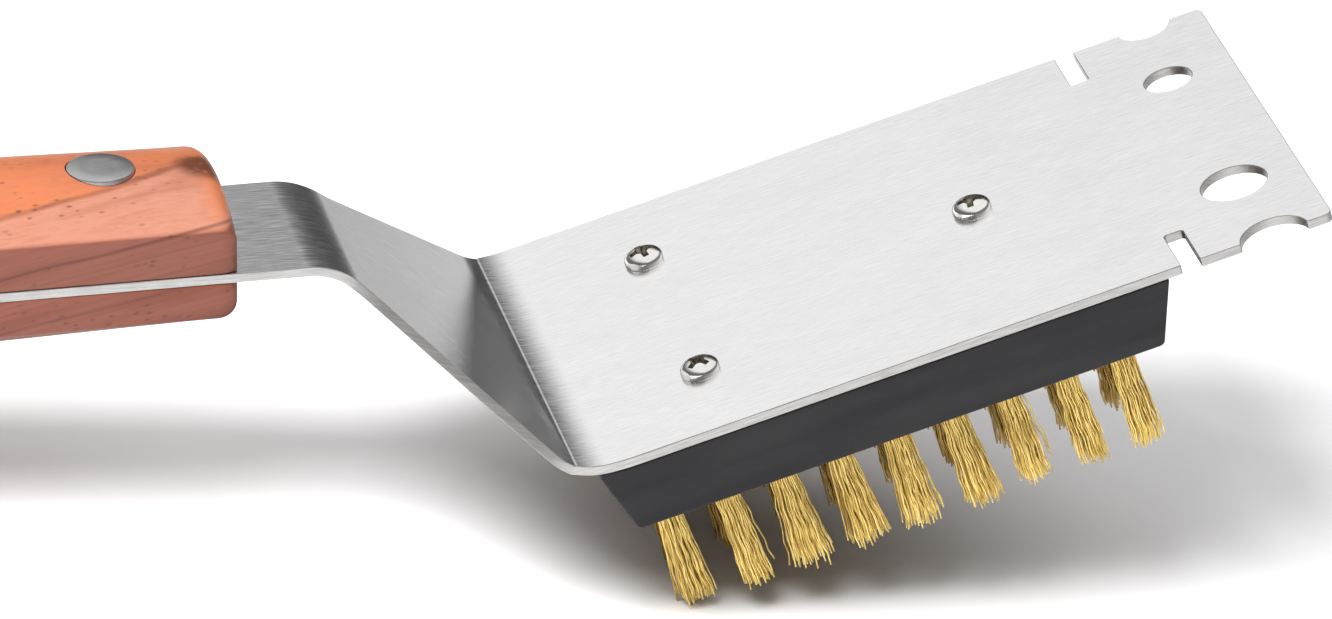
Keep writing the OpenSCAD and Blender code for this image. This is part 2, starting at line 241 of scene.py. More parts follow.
def face_triangles(flat, sizes, links):
    """Anticlockwise triangles between an outer ring and the rings inside it. flat has the
    points of all the rings in turn, and sizes says how many each ring has."""
    edges, borders, base = list(links), [], 0
    for n in sizes:
        edges += [(base + i, base + (i + 1) % n) for i in range(n)]
        borders.append([tuple(p) for p in flat[base:base + n]])
        base += n
    _, _, tris, source, _, _ = delaunay_2d_cdt(flat, edges, [], 0, 1e-7)
    filled = []
    for tri in tris:
        ids = [source[i][0] for i in tri]
        mid = sum((flat[i] for i in ids), Vector((0, 0))) / 3
        if not inside(mid, borders[0]) or any(inside(mid, b) for b in borders[1:]):
            continue
        (ax, ay), (bx, by), (cx, cy) = (flat[i] for i in ids)
        if (bx - ax) * (cy - ay) - (by - ay) * (cx - ax) < 0:
            ids.reverse()
        filled.append(ids)
    return filled


def rounded_slab(outer, holes, thickness, edge_r, steps, links=()):
    """Slab with rounded edges: its (u, v, depth) points, its faces, the row of the rim that
    each point is in, and the last row. The outer ring runs clockwise and the holes run
    anticlockwise. links are pairs of outer points that an edge joins across the faces."""
    turns = [math.pi / 2 * k / steps for k in range(steps + 1)]
    rows = [(edge_r * (math.sin(a) - 1), edge_r * (1 - math.cos(a))) for a in turns]
    rows += [
        (edge_r * (math.cos(a) - 1), thickness - edge_r * (1 - math.sin(a))) for a in turns
    ]
    rings = [outer] + holes
    sizes = [len(ring) for ring in rings]
    total, last = sum(sizes), len(rows) - 1
    verts, faces, row_of = [], [], []
    for k, (offset, depth) in enumerate(rows):
        for ring in rings:
            for i, point in enumerate(ring):
                here, out = Vector(point), mitre(ring, i)
                verts.append((here.x + out.x * offset, here.y + out.y * offset, depth))
                row_of.append(k)
    for k in range(last):
        base = 0
        for n in sizes:
            for i in range(n):
                j = (i + 1) % n
                upper, lower = k * total + base, (k + 1) * total + base
                faces.append((upper + i, upper + j, lower + j, lower + i))
            base += n
    flat = [Vector(v[:2]) for v in verts[:total]]
    for ids in face_triangles(flat, sizes, links):
        faces.append(tuple(ids))
        faces.append(tuple(last * total + i for i in reversed(ids)))
    return verts, faces, row_of, last


# ---------------------------------------------------------------- material helpers
class Nodes:
    """Short ways to add nodes to a node tree. An input can be a value or another's output."""

    def __init__(self, tree):
        self.tree = tree

    def add(self, kind, links=(), **props):
        """A new node, with its properties and its (socket, input) pairs."""
        node = self.tree.nodes.new("ShaderNode" + kind)
        for key, value in props.items():
            setattr(node, key, value)
        for socket, value in links:
            if isinstance(value, bpy.types.NodeSocket):
                self.tree.links.new(value, node.inputs[socket])
            else:
                node.inputs[socket].default_value = value
        return node

    def stretched(self, vector, stretch):
        """A vector divided by stretch, so that a texture is drawn out by it."""
        scale = tuple(1 / s for s in stretch)
        return self.add("Mapping", [("Vector", vector), ("Scale", scale)]).outputs[0]

    def noise(self, vector, scale=1.0, detail=3.0, rough=0.5, distortion=0.0):
        """Noise from 0 to 1."""
        return self.add(
            "TexNoise",
            [("Vector", vector), ("Scale", scale), ("Detail", detail), ("Roughness", rough),
             ("Distortion", distortion)],
        ).outputs["Fac"]

    def ramp(self, value, low, high):
        """Value eased so that low becomes 0 and high becomes 1."""
        return self.add(
            "MapRange",
            [("Value", value), ("From Min", low), ("From Max", high)],
            interpolation_type="SMOOTHSTEP",
        ).outputs[0]

    def span(self, value, low, high):
        """A value from 0 to 1 spread over low to high."""
        return self.add(
            "MapRange", [("Value", value), ("To Min", low), ("To Max", high)]
        ).outputs[0]

    def math(self, operation, a, b=0.0):
        """One sum on two inputs."""
        return self.add("Math", [(0, a), (1, b)], operation=operation).outputs[0]

    def times(self, *factors):
        """Product of two or more inputs."""
        product = factors[0]
        for factor in factors[1:]:
            product = self.math("MULTIPLY", product, factor)
        return product

    def blend(self, a, b, share):
        """Sum of a and b, with share of a."""
        return self.math("ADD", self.times(a, share), self.times(b, 1 - share))

    def mix(self, factor, a, b, blend="MIX"):
        """Colour a changed by colour b, as much as factor says."""
        node = self.add("Mix", data_type="RGBA", blend_type=blend)
        for index, value in ((0, factor), (6, a), (7, b)):
            if isinstance(value, bpy.types.NodeSocket):
                self.tree.links.new(value, node.inputs[index])
            elif index:
                node.inputs[index].default_value = (*value, 1)
            else:
                node.inputs[index].default_value = value
        return node.outputs[2]


class Shader(Nodes):
    """A procedural material with a Principled shader."""

    def __init__(self, name, **values):
        self.material = bpy.data.materials.new(name)
        self.material.use_nodes = True
        super().__init__(self.material.node_tree)
        self.shader = self.tree.nodes["Principled BSDF"]
        for socket, value in values.items():
            self.shader.inputs[socket.replace("_", " ")].default_value = value

    def link(self, value, socket):
        """Joins an output to a socket of the shader."""
        self.tree.links.new(value, self.shader.inputs[socket])

    def coords(self, frame_matrix=None, stretch=(1, 1, 1), turn=None):
        """Position in millimetres in a frame, turned and divided by stretch."""
        source = self.add("TexCoord").outputs["Object"]
        inverse = (frame_matrix or Matrix.Scale(MM, 4)).inverted()
        size = inverse.to_scale().x
        rotation = inverse.to_3x3() * (1 / size)
        place = inverse.translation
        if turn is not None:
            rotation, place = turn @ rotation, turn @ place
        node = self.add(
            "Mapping",
            [("Vector", source), ("Location", place), ("Rotation", rotation.to_euler()),
             ("Scale", (size, size, size))],
        )
        return self.stretched(node.outputs[0], stretch)

    def uv(self, stretch):
        """Position in millimetres on the flat pattern of the sheet, divided by stretch."""
        node = self.add("UVMap", uv_map="sheet")
        return self.stretched(node.outputs[0], (stretch[0], stretch[1], 1))

    def bump(self, height, strength, distance):
        """Relief of a height from 0 to 1, with its distance in millimetres."""
        node = self.add(
            "Bump", [("Height", height), ("Strength", strength), ("Distance", distance * MM)]
        )
        self.link(node.outputs[0], "Normal")


# ---------------------------------------------------------------- materials
def brushed_sheet():
    """Stainless sheet, brushed along its length; the texture runs on the flat pattern."""
    s = Shader(
        "brushed_steel", Metallic=1.0, Roughness=0.24, Anisotropic=0.55, Anisotropic_Rotation=0.25
    )
    tangent = s.add("Tangent", direction_type="UV_MAP", uv_map="sheet")
    s.link(tangent.outputs[0], "Tangent")
    fine = s.noise(s.uv((3.0, 0.2)), detail=2, rough=0.5)
    long = s.noise(s.uv((11, 0.35)), detail=3, rough=0.6)
    cloud = s.noise(s.uv((18, 7)), detail=3, distortion=0.5)
    streaks = s.blend(fine, long, 0.65)
    tone = s.blend(streaks, cloud, 0.87)
    color = s.mix(s.ramp(tone, 0.38, 0.62), (0.85, 0.84, 0.84), (1.0, 0.99, 0.99))
    scratch = s.ramp(s.noise(s.uv((7, 0.16)), scale=1.3, detail=2), 0.68, 0.74)
    color = s.mix(s.times(scratch, 0.4), color, (0.62, 0.62, 0.62))
    s.link(color, "Base Color")
    s.link(s.span(s.ramp(streaks, 0.35, 0.65), 0.19, 0.27), "Roughness")
    s.bump(streaks, 0.2, 0.012)
    return s.material


def sheared_steel():
    """The sheet's cut rim: duller and a little greyer than its faces."""
    s = Shader("sheared_steel", Metallic=1.0, Roughness=0.42)
    grain = s.noise(s.uv((5, 0.25)), detail=4, rough=0.6)
    s.link(s.mix(s.ramp(grain, 0.3, 0.7), (0.34, 0.335, 0.33), (0.50, 0.495, 0.485)), "Base Color")
    s.link(s.span(grain, 0.34, 0.5), "Roughness")
    s.bump(grain, 0.4, 0.03)
    return s.material


# Growth rings lie nearly flat, tilted along and across the handle.
RING_UP = Vector((-0.176, 0.389, -0.904)).normalized()
GRAIN = Vector((1.0, 0.0, -0.195))
GRAIN = (GRAIN - RING_UP * GRAIN.dot(RING_UP)).normalized()
WOOD_TURN = Matrix((GRAIN, RING_UP.cross(GRAIN), RING_UP))
# Dark growth lines: place across the rings in millimetres, half width and strength
MAIN_LINE = -12.55
RING_LINES = (
    (MAIN_LINE, 0.6, 0.6), (-3.6, 0.42, 0.6), (-1.4, 0.25, 0.2), (4.4, 0.4, 0.5),
    (1.6, 0.2, 0.15), (-22.0, 0.4, 0.6), (-33.0, 0.4, 0.55), (-46.0, 0.4, 0.6), (10.0, 0.4, 0.55),
)
KNOT = Vector((HANDLE_START + 2.4, -0.7, UPPER_SIDE + 3.2))
LINE_BROWN, KNOT_BROWN = (0.075, 0.025, 0.018), (0.1, 0.028, 0.012)


def growth_lines(s, place, ring, color):
    """Dark lines between the growth rings, patchy along their length."""
    for at, width, strength in RING_LINES:
        gap = s.math("ABSOLUTE", s.math("SUBTRACT", ring, at))
        line = s.math("SUBTRACT", 1.0, s.ramp(gap, width * 0.1, width))
        patchy = s.ramp(s.noise(s.stretched(place, (9, 5, 2)), detail=2), 0.1, 0.55)
        color = s.mix(s.times(line, patchy, strength), color, LINE_BROWN)
    return color


def knot(s, place, color):
    """Small dark knot in the far front corner of the upper scale's top."""
    from_knot = s.add("VectorMath", [(0, place), (1, WOOD_TURN @ -KNOT)], operation="ADD")
    away = s.add("VectorMath", [(0, from_knot.outputs[0])], operation="LENGTH").outputs["Value"]
    spot = s.noise(s.stretched(place, (3.5, 2.2, 1.2)), detail=4, rough=0.7)
    near = s.math("SUBTRACT", 1.0, s.ramp(away, 2.2, 5.6))
    return s.mix(s.times(near, s.ramp(spot, 0.28, 0.5)), color, KNOT_BROWN)


def handle_wood():
    """Lacquered reddish hardwood with growth lines, one knot and short pores along the grain."""
    s = Shader(
        "handle_wood", Roughness=0.5, Coat_Weight=0.08, Coat_Roughness=0.3, Specular_IOR_Level=0.3
    )
    place = s.coords(TANG, turn=WOOD_TURN)
    wobble = s.noise(s.stretched(place, (34, 9, 7)), detail=2)
    xyz = s.add("SeparateXYZ", [(0, place)])
    ring = s.math("ADD", xyz.outputs[2], s.times(wobble, 2.0))
    bands = s.noise(s.stretched(place, (60, 10, 2.6)), detail=3, rough=0.55, distortion=0.25)
    fibre = s.noise(s.stretched(place, (26, 0.55, 0.55)), detail=4, rough=0.7)
    orange, salmon, brown = (0.43, 0.125, 0.048), (0.385, 0.165, 0.112), (0.25, 0.08, 0.042)
    color = s.mix(s.ramp(ring, MAIN_LINE - 0.4, MAIN_LINE + 0.8), orange, salmon)
    color = s.mix(s.times(s.ramp(bands, 0.44, 0.66), 0.6), color, brown)
    color = s.mix(s.times(s.ramp(fibre, 0.42, 0.66), 0.55), color, (0.34, 0.12, 0.06))
    # the top is more orange near the front, and the sides carry painted shade that makes them
    # darker than the top
    on_tang = s.add("SeparateXYZ", [(0, s.coords(TANG))]).outputs
    front = s.ramp(on_tang[0], HANDLE_START + 5.5, HANDLE_START + 0.5)
    top = s.ramp(on_tang[2], UPPER_SIDE, UPPER_SIDE + 2.0)
    color = s.mix(s.times(front, top, 0.8), color, (0.43, 0.12, 0.035))
    # painted shade on the sides: a darker multiply below the crown, standing in for the weaker
    # light there
    sides = s.ramp(on_tang[2], UPPER_SIDE + 0.4, UPPER_SIDE - 0.2)
    color = s.mix(s.times(sides, 0.85), color, (0.42, 0.295, 0.285), "MULTIPLY")
    color = knot(s, place, growth_lines(s, place, ring, color))
    pore = s.add(
        "TexVoronoi",
        [("Vector", s.stretched(place, (2.0, 1.0, 1.0))), ("Scale", 0.8), ("Randomness", 1.0)],
    )
    thin = s.math("SUBTRACT", 1.0, s.ramp(pore.outputs["Distance"], 0.1, 0.26))
    some = s.ramp(s.noise(s.stretched(place, (20, 9, 9)), detail=1), 0.42, 0.6)
    s.link(s.mix(s.times(thin, some, 0.6), color, LINE_BROWN), "Base Color")
    s.link(s.span(fibre, 0.34, 0.56), "Roughness")
    s.bump(s.math("SUBTRACT", fibre, s.times(thin, 0.5)), 0.25, 0.05)
    return s.material


def ground_rivet():
    """Rivet heads ground low: flat, dull, finely scratched one way."""
    s = Shader("rivet_steel", Metallic=1.0, Roughness=0.38)
    lines = s.noise(s.coords(TANG, (7, 0.12, 3)), detail=3)
    cloud = s.noise(s.coords(TANG, (3, 3, 3)), detail=3)
    tone = s.blend(lines, cloud, 0.6)
    s.link(s.mix(s.ramp(tone, 0.3, 0.7), (0.44, 0.44, 0.445), (0.62, 0.62, 0.625)), "Base Color")
    s.link(s.span(tone, 0.3, 0.5), "Roughness")
    s.bump(lines, 0.3, 0.015)
    return s.material


def moulded_plastic():
    """Charcoal moulding: fine spark texture, faint flow marks, slightly shiny."""
    s = Shader("moulded_plastic", Roughness=0.5, Specular_IOR_Level=0.2)
    grain = s.noise(s.coords(PLATE, (0.22, 0.22, 0.22)), detail=3)
    flow = s.noise(s.coords(PLATE, (24, 10, 4)), detail=4)
    s.link(s.mix(s.ramp(flow, 0.3, 0.7), (0.014, 0.0135, 0.015), (0.021, 0.0205, 0.022)),
           "Base Color")
    s.link(s.span(grain, 0.42, 0.62), "Roughness")
    s.bump(grain, 0.35, 0.03)
    return s.material


def brass_wire():
    """Drawn brass wire: its tone changes from wire to wire, and it is darkened near its roots
    and among the inner rows by painted shade."""
    s = Shader("brass_wire", Metallic=0.45, Roughness=0.36)
    wire = s.noise(s.coords(PLATE, (0.45, 0.45, 9)), detail=2, rough=0.7)
    color = s.mix(s.ramp(wire, 0.38, 0.6), (0.60, 0.41, 0.09), (1.0, 0.77, 0.26))
    on_plate = s.add("SeparateXYZ", [(0, s.coords(PLATE))]).outputs
    # painted shade: the inner rows and the roots are darkened, where the block and the outer rows
    # shade them
    inner = s.ramp(s.math("ABSOLUTE", on_plate[1]), OUTER_ROWS, OUTER_ROWS - 3.0)
    root = s.ramp(on_plate[2], BLOCK_BOTTOM - 5, BLOCK_BOTTOM)
    painted_shade = s.math("MAXIMUM", s.times(inner, 0.8), s.times(root, 0.4))
    s.link(s.mix(painted_shade, color, (0.42, 0.33, 0.2), "MULTIPLY"), "Base Color")
    s.link(s.span(wire, 0.28, 0.46), "Roughness")
    s.bump(s.noise(s.coords(PLATE, (0.2, 0.2, 1.2)), detail=2), 0.2, 0.02)
    return s.material


def plated_screw():
    """Bright nickel plating with a warm tint, slightly uneven."""
    s = Shader("screw_plating", Metallic=1.0, Roughness=0.14)
    uneven = s.noise(s.coords(PLATE, (0.9, 0.9, 0.9)), detail=3)
    s.link(s.mix(uneven, (0.74, 0.72, 0.69), (0.95, 0.93, 0.90)), "Base Color")
    s.link(s.span(uneven, 0.08, 0.22), "Roughness")
    s.bump(uneven, 0.25, 0.05)
    return s.material


def screw_recess():
    """The recess in a screw head: the same plating, duller and darkened with painted shade."""
    s = Shader("screw_recess", Metallic=0.8, Roughness=0.4)
    recess_shade = s.noise(s.coords(PLATE, (0.7, 0.7, 0.7)), detail=3)
    s.link(s.mix(s.ramp(recess_shade, 0.35, 0.65), (0.10, 0.085, 0.06), (0.30, 0.27, 0.22)), "Base Color")
    return s.material


def clip_wire():
    """Plain steel of the clips inside the block."""
    s = Shader("clip_wire", Metallic=1.0, Roughness=0.35)
    tone = s.noise(s.coords(PLATE, (0.5, 2, 0.5)), detail=2)
    s.link(s.mix(tone, (0.45, 0.45, 0.45), (0.68, 0.68, 0.68)), "Base Color")
    return s.material


STEEL, RIM, WOOD = brushed_sheet(), sheared_steel(), handle_wood()
RIVET, PLASTIC, BRASS = ground_rivet(), moulded_plastic(), brass_wire()
PLATING, RECESS, CLIP = plated_screw(), screw_recess(), clip_wire()

# ---------------------------------------------------------------- the bent sheet
# The sheet is drawn flat, then bent. q is the distance along its upper face: 0 where the
# plate's bend ends, above 0 on the plate, below 0 on the bends, neck and tang. Each run of the
# path has its length and its tilts from Z at both ends. The plate's bend has the mark that the
# press leaves: a narrow crease, where its tilt dips and then climbs again.
CREASE_FROM, CREASE_DIP, CREASE_TO = math.radians(20), math.radians(8), math.radians(38)
PLATE_BEND = [
    (radius * abs(a1 - a0), a0, a1)
    for radius, a0, a1 in (
        (13.0, 0.0, CREASE_FROM), (1.2, CREASE_FROM, CREASE_DIP),
        (0.8, CREASE_DIP, CREASE_TO), (9.0, CREASE_TO, NECK_ANGLE),
    )
]


def run_end(x, z, length, a0, a1):
    """Where a run of the path ends, from its start and its tilts at both ends."""
    if abs(a1 - a0) < 1e-9:
        return x - length * math.cos(a0), z + length * math.sin(a0)
    r = length / (a1 - a0)
    return x - r * (math.sin(a1) - math.sin(a0)), z - r * (math.cos(a1) - math.cos(a0))


def bend_reach():
    """Distances from the corner of plate and neck to the two ends of their bend."""
    x, z = 0.0, 0.0
    for run in PLATE_BEND:
        x, z = run_end(x, z, *run)
    return -x - z / math.tan(NECK_ANGLE), z / math.sin(NECK_ANGLE)


ON_PLATE, ON_NECK = bend_reach()
NECK_FLAT = NECK_LENGTH - TANG_SETBACK - ON_NECK
TANG_FLAT = HANDLE_END - TANG_SETBACK
RUNS, at_q, at_x, at_z = [], 0.0, ON_PLATE, 0.0
for run in PLATE_BEND + [
    (NECK_FLAT, NECK_ANGLE, NECK_ANGLE),
    (TANG_BEND_R * TANG_TURN, NECK_ANGLE, TANG_ANGLE),
    (TANG_FLAT, TANG_ANGLE, TANG_ANGLE),
]:
    RUNS.append((at_q, at_x, at_z, run))
    at_x, at_z = run_end(at_x, at_z, *run)
    at_q -= run[0]
Q_TANG_BEND, Q_TANG, Q_BUTT = RUNS[-2][0], RUNS[-1][0], at_q
FLARE = (NECK_WIDE / 2 - HALF_W) / (NECK_LENGTH - TANG_SETBACK - PLATE_SETBACK)
Q_FLARE_END = Q_TANG_BEND + (PLATE_W / 2 - HALF_W) / FLARE
SHEET_EDGE_R = 0.12
SLOT_MOUTH_R, SLOT_FLOOR_R, NOTCH_CORNER_R = 0.35, 0.5, 0.3
# How far the flare's corners are rounded: where it meets the plate on the far side and on the
# near side, and where it leaves the tang
FAR_EASE, NEAR_EASE, TANG_EASE = 4, 8, 4
# Stations along each run from the tang's bend to the plate, and then along the plate
RUN_STEPS, PLATE_STEPS, PLATE_STEP = (22, 16, 9, 5, 4, 12), 12, 0.8
RIM_SMOOTH = 0.75  # least cosine between two faces of the rim that are shaded as one


def eased(x, reach):
    """Ramp max(x, 0), with its corner rounded over reach on each side."""
    if abs(x) >= reach:
        return max(x, 0)
    return (x + reach) ** 2 / (4 * reach)


def half_width(q, ease):
    """Half the width of the sheet, from the tang to the plate."""
    return HALF_W + FLARE * (eased(q - Q_TANG_BEND, TANG_EASE) - eased(q - Q_FLARE_END, ease))


def tang_q(s):
    """q of a place at distance s along the tang."""
    return Q_TANG - (s - TANG_SETBACK)


def on_sheet(q, depth):
    """Place (x, z) in the plate's frame, and tilt of the upper face's normal from Z."""
    if q >= 0:
        return ON_PLATE + q, -depth, 0.0
    q0, x, z, (length, a0, a1) = [r for r in RUNS if r[0] >= q][-1]
    part = min(1.0, (q0 - q) / length)
    a = a0 + (a1 - a0) * part
    x, z = run_end(x, z, length * part, a0, a)
    return x - depth * math.sin(a), z - depth * math.cos(a), a


def sheet_side(notch_r, ease, stations):
    """One side of the flat pattern from the butt to the scraping edge, with y above 0. Says
    also which of its points are at the stations: the first, and how many."""
    side = PLATE_W / 2
    corners = [(Q_BUTT, 0, 0), (Q_BUTT, HALF_W, BUTT_R), (tang_q(HANDLE_START), HALF_W, 0)]
    tang_part = filleted(corners, steps=10)[1:]
    middle = [(q, half_width(q, ease)) for q in stations]
    slot = SLOT_X - ON_PLATE
    notch = NOTCH_X - ON_PLATE
    dip = math.degrees(math.asin(NOTCH_BEYOND / notch_r))
    bite = arc(notch, side + NOTCH_BEYOND, notch_r, dip - 180, -dip, 16)
    corners = [(middle[-1][0], side, 0)]
    corners += [(slot, side, SLOT_MOUTH_R), (slot, side - SLOT_DEPTH, SLOT_FLOOR_R)]
    corners += [(slot + SLOT_W, side - SLOT_DEPTH, SLOT_FLOOR_R)]
    corners += [(slot + SLOT_W, side, SLOT_MOUTH_R), (*bite[0], NOTCH_CORNER_R)]
    corners += [(x, y, 0) for x, y in bite[1:-1]] + [(*bite[-1], NOTCH_CORNER_R)]
    corners += [(PLATE_L - ON_PLATE, side, TIP_R), (PLATE_L - ON_PLATE, 0, 0)]
    return tang_part + middle + filleted(corners)[1:-1], len(tang_part), len(middle)


def sheet_holes():
    """Every round hole in the sheet, on its flat pattern."""
    places = [(HOLE_X, HOLE_OFFSET, SMALL_HOLE_R, 56), (HOLE_X, -HOLE_OFFSET, LARGE_HOLE_R, 56)]
    places += [(x, y, SCREW_SHANK_R + SCREW_GAP, 24) for x, y, _ in SCREWS]
    holes = [(x - ON_PLATE, y, r, steps) for x, y, r, steps in places]
    holes += [(tang_q(s), 0, RIVET_SLEEVE_R, 32) for s in RIVETS]
    holes += [(tang_q(HANG_S), 0, HANG_R, 48)]
    return [arc(q, y, r, 0, 360, steps)[:-1] for q, y, r, steps in holes]


def bent_normals(mesh, up, row_of, last_row):
    """Smooth normals: the true ones on both faces, and rounded ones on the rim. up is the
    upper face's normal at each point."""
    faces_at = [[] for _ in mesh.vertices]
    for poly in mesh.polygons:
        for v in poly.vertices:
            faces_at[v].append(poly.index)
    normals = [None] * len(mesh.loops)
    for poly in mesh.polygons:
        for loop in poly.loop_indices:
            v = mesh.loops[loop].vertex_index
            if row_of[v] in (0, last_row):
                normals[loop] = up[v] if row_of[v] == 0 else -up[v]
                continue
            total = Vector((0, 0, 0))
            for other in (mesh.polygons[i] for i in faces_at[v]):
                if other.normal.dot(poly.normal) > RIM_SMOOTH:
                    total += other.normal * other.area
            normals[loop] = total.normalized()
    mesh.normals_split_custom_set(normals)


def spine():
    """Tang, neck and plate: one bent sheet with punched slots, holes and notches."""
    stations = []
    for (q0, _, _, (length, _, _)), steps in zip(reversed(RUNS[:-1]), RUN_STEPS):
        stations += [q0 - length * (1 - k / steps) for k in range(steps)]
    stations += [PLATE_STEP * k for k in range(PLATE_STEPS)]
    far, first, count = sheet_side(SMALL_NOTCH_R, FAR_EASE, stations)
    near, _, _ = sheet_side(LARGE_NOTCH_R, NEAR_EASE, stations)
    outer = far + [(q, -y) for q, y in reversed(near)]
    links = [(first + k, len(outer) - 1 - first - k) for k in range(count)]
    points, faces, row_of, last_row = rounded_slab(
        outer, sheet_holes(), SHEET_T, SHEET_EDGE_R, 3, links
    )
    turn = PLATE.to_3x3() * (1 / MM)
    verts, up = [], []
    for q, y, depth in points:
        x, z, a = on_sheet(q, depth)
        verts.append((x, y, z))
        up.append(turn @ Vector((math.sin(a), 0, math.cos(a))))
    obj = mesh_object("steel_spine", verts, faces)
    mesh = obj.data
    flat = mesh.uv_layers.new(name="sheet")
    for loop in mesh.loops:
        q, y, depth = points[loop.vertex_index]
        flat.data[loop.index].uv = (q, y - depth)
    finished(obj, PLATE, STEEL, ["spine"], angle=0)
    mesh.materials.append(RIM)
    for poly in mesh.polygons:
        rows = {row_of[v] for v in poly.vertices}
        poly.material_index = 0 if rows == {0} or rows == {last_row} else 1
    bent_normals(mesh, up, row_of, last_row)


# ---------------------------------------------------------------- the handle
FOOT_R, SHOULDER_R = 0.35, 0.45  # lower and upper long edges of a scale
FRONT_CUTS, BODY_CUTS, BUTT_CUTS = 8, 40, 16
HEAD_GAP, SLEEVE_GAP = 0.12, 0.05  # round the rivets in the wood
MOUTH_R, MOUTH_DEPTH = 1.1, 1.5  # of the hanging hole
HEAD_DOME = 0.05  # how much a rivet head's middle stands above its edge


def scale_section(w, h, c):
    """Section of a scale, from (y, z) points: half width w, side height h, crown c."""
    r = (w * w + c * c) / (2 * c)
    half = math.degrees(math.asin(w / r))
    top = arc(0, h + c - r, r, 90 - half, 90 + half, 26)
    corners = [(-w, 0, FOOT_R), (w, 0, FOOT_R), (w, h, SHOULDER_R)]
    corners += [(x, y, 0) for x, y in top[1:-1]] + [(-w, h, SHOULDER_R)]
    return filleted(corners, closed=True)


def drawn_in(e, r):
    """How far an edge rounded to r is drawn in, at distance e from the end."""
    return 0 if e >= r else r - math.sqrt(r * r - (r - e) ** 2)


def end_cuts(r, count):
    """Distances of sections from an end rounded to r, from the end inwards."""
    return [r * (1 - math.cos(math.pi / 2 * k / count)) for k in range(count + 1)]


def scale_body(name, side_h):
    """One scale as a loft of sections, with rounded ends. Each place has its distance along
    the tang, and how far the section is narrowed and lowered there."""
    places = [
        (HANDLE_START + e, drawn_in(e, END_R) / 2, drawn_in(e, END_R))
        for e in end_cuts(END_R, FRONT_CUTS)
    ]
    step = (HANDLE_L - END_R - BUTT_R) / BODY_CUTS
    places += [(HANDLE_START + END_R + step * k, 0, 0) for k in range(1, BODY_CUTS)]
    places += [
        (HANDLE_END - e, drawn_in(e, BUTT_R), drawn_in(e, END_R))
        for e in reversed(end_cuts(BUTT_R, BUTT_CUTS))
    ]
    verts, faces = [], []
    for s, narrowed, lowered in places:
        w = HALF_W - narrowed
        kept = (w / HALF_W) ** 2
        c = crown(s)
        section = scale_section(w, side_h + c * (1 - kept) - lowered, c * kept)
        verts += [(s, y, z) for y, z in section]
    n = len(section)
    for k in range(len(places) - 1):
        for i in range(n):
            j = (i + 1) % n
            faces.append((k * n + i, k * n + j, (k + 1) * n + j, (k + 1) * n + i))
    faces.append(tuple(reversed(range(n))))
    faces.append(tuple((len(places) - 1) * n + i for i in range(n)))
    return mesh_object(name, verts, faces)


def handle_scale(name, node, side_h, matrix):
    """Wooden scale with counterbored rivet holes and an eased hanging hole."""
    obj = scale_body(name, side_h)
    cutters = []
    for s in RIVETS:
        top = side_h + crown(s)
        ledge = top + RIVET_PROUD - RIVET_HEAD_T
        wide, tight = RIVET_HEAD_R + HEAD_GAP, RIVET_SLEEVE_R + SLEEVE_GAP
        profile = [(0, -1), (tight, -1), (tight, ledge)]
        profile += [(wide, ledge), (wide, top + 2), (0, top + 2)]
        cutters.append(lathe("cutter", profile, s, 0))
    top = side_h + crown(HANG_S)
    mouth = arc(HANG_R + MOUTH_R, top - MOUTH_DEPTH, MOUTH_R, 180, 90, 4)
    profile = [(0, -1), (HANG_R, -1)] + mouth + [(HANG_R + 3, top + 2), (0, top + 2)]
    cutters.append(lathe("cutter", profile, HANG_S, 0, steps=64))
    cut(obj, cutters)
    finished(obj, matrix, WOOD, [node], angle=50)


def rivet(i, s):
    """Two-piece rivet: a solid post with one low head, and a sleeve with the other."""
    head = RIVET_HEAD_R
    eased_edge = [(head, 0.4), (head - 0.12, 0.12), (head - 0.4, 0.0)]
    top = UPPER_SIDE + crown(s) + RIVET_PROUD
    base = -SHEET_T - (LOWER_SIDE + crown(s) + RIVET_PROUD)
    high, low = top - RIVET_HEAD_T, base + RIVET_HEAD_T
    post_end = low + 1.5
    post = [(0, post_end), (RIVET_POST_R, post_end), (RIVET_POST_R, high), (head, high)]
    post += [(r, top - e) for r, e in eased_edge]
    post += [(head / 2, top + 0.6 * HEAD_DOME), (0, top + HEAD_DOME)]
    finished(lathe(f"rivet_{i}_post", post, s, 0, 72), TANG, RIVET,
             [f"rivet_post_{i}"])
    sleeve = [(0, base - HEAD_DOME), (head / 2, base - 0.6 * HEAD_DOME)]
    sleeve += [(r, base + e) for r, e in reversed(eased_edge)]
    sleeve += [(head, low), (RIVET_SLEEVE_R, low), (RIVET_SLEEVE_R, high)]
    sleeve += [(RIVET_POST_R, high), (RIVET_POST_R, low), (0, low)]
    finished(lathe(f"rivet_{i}_sleeve", sleeve, s, 0, 72), TANG, RIVET,
             [f"rivet_sleeve_{i}"])


# ---------------------------------------------------------------- block and screws
BLOCK_TOP_R, BLOCK_EDGE_R = 0.6, 0.5
TUFT_HOLE_SIDES = 24
# Cross recess: height of its cutter above the head, its depth from there, and its blades as
# (depth from the cutter's top, half length, half width)
RECESS_OVER, RECESS_DEPTH = 0.3, 1.9
RECESS_BLADE = ((RECESS_DEPTH, 0.7, 0.24), (1.0, 1.75, 0.42), (0.0, 2.3, 0.6))
THREAD_PITCH, THREAD_TURNS, POINT_L = 0.7, 7, 1.2
RECESS_REACH = 2.2  # no part of the recess is farther from the screw's middle


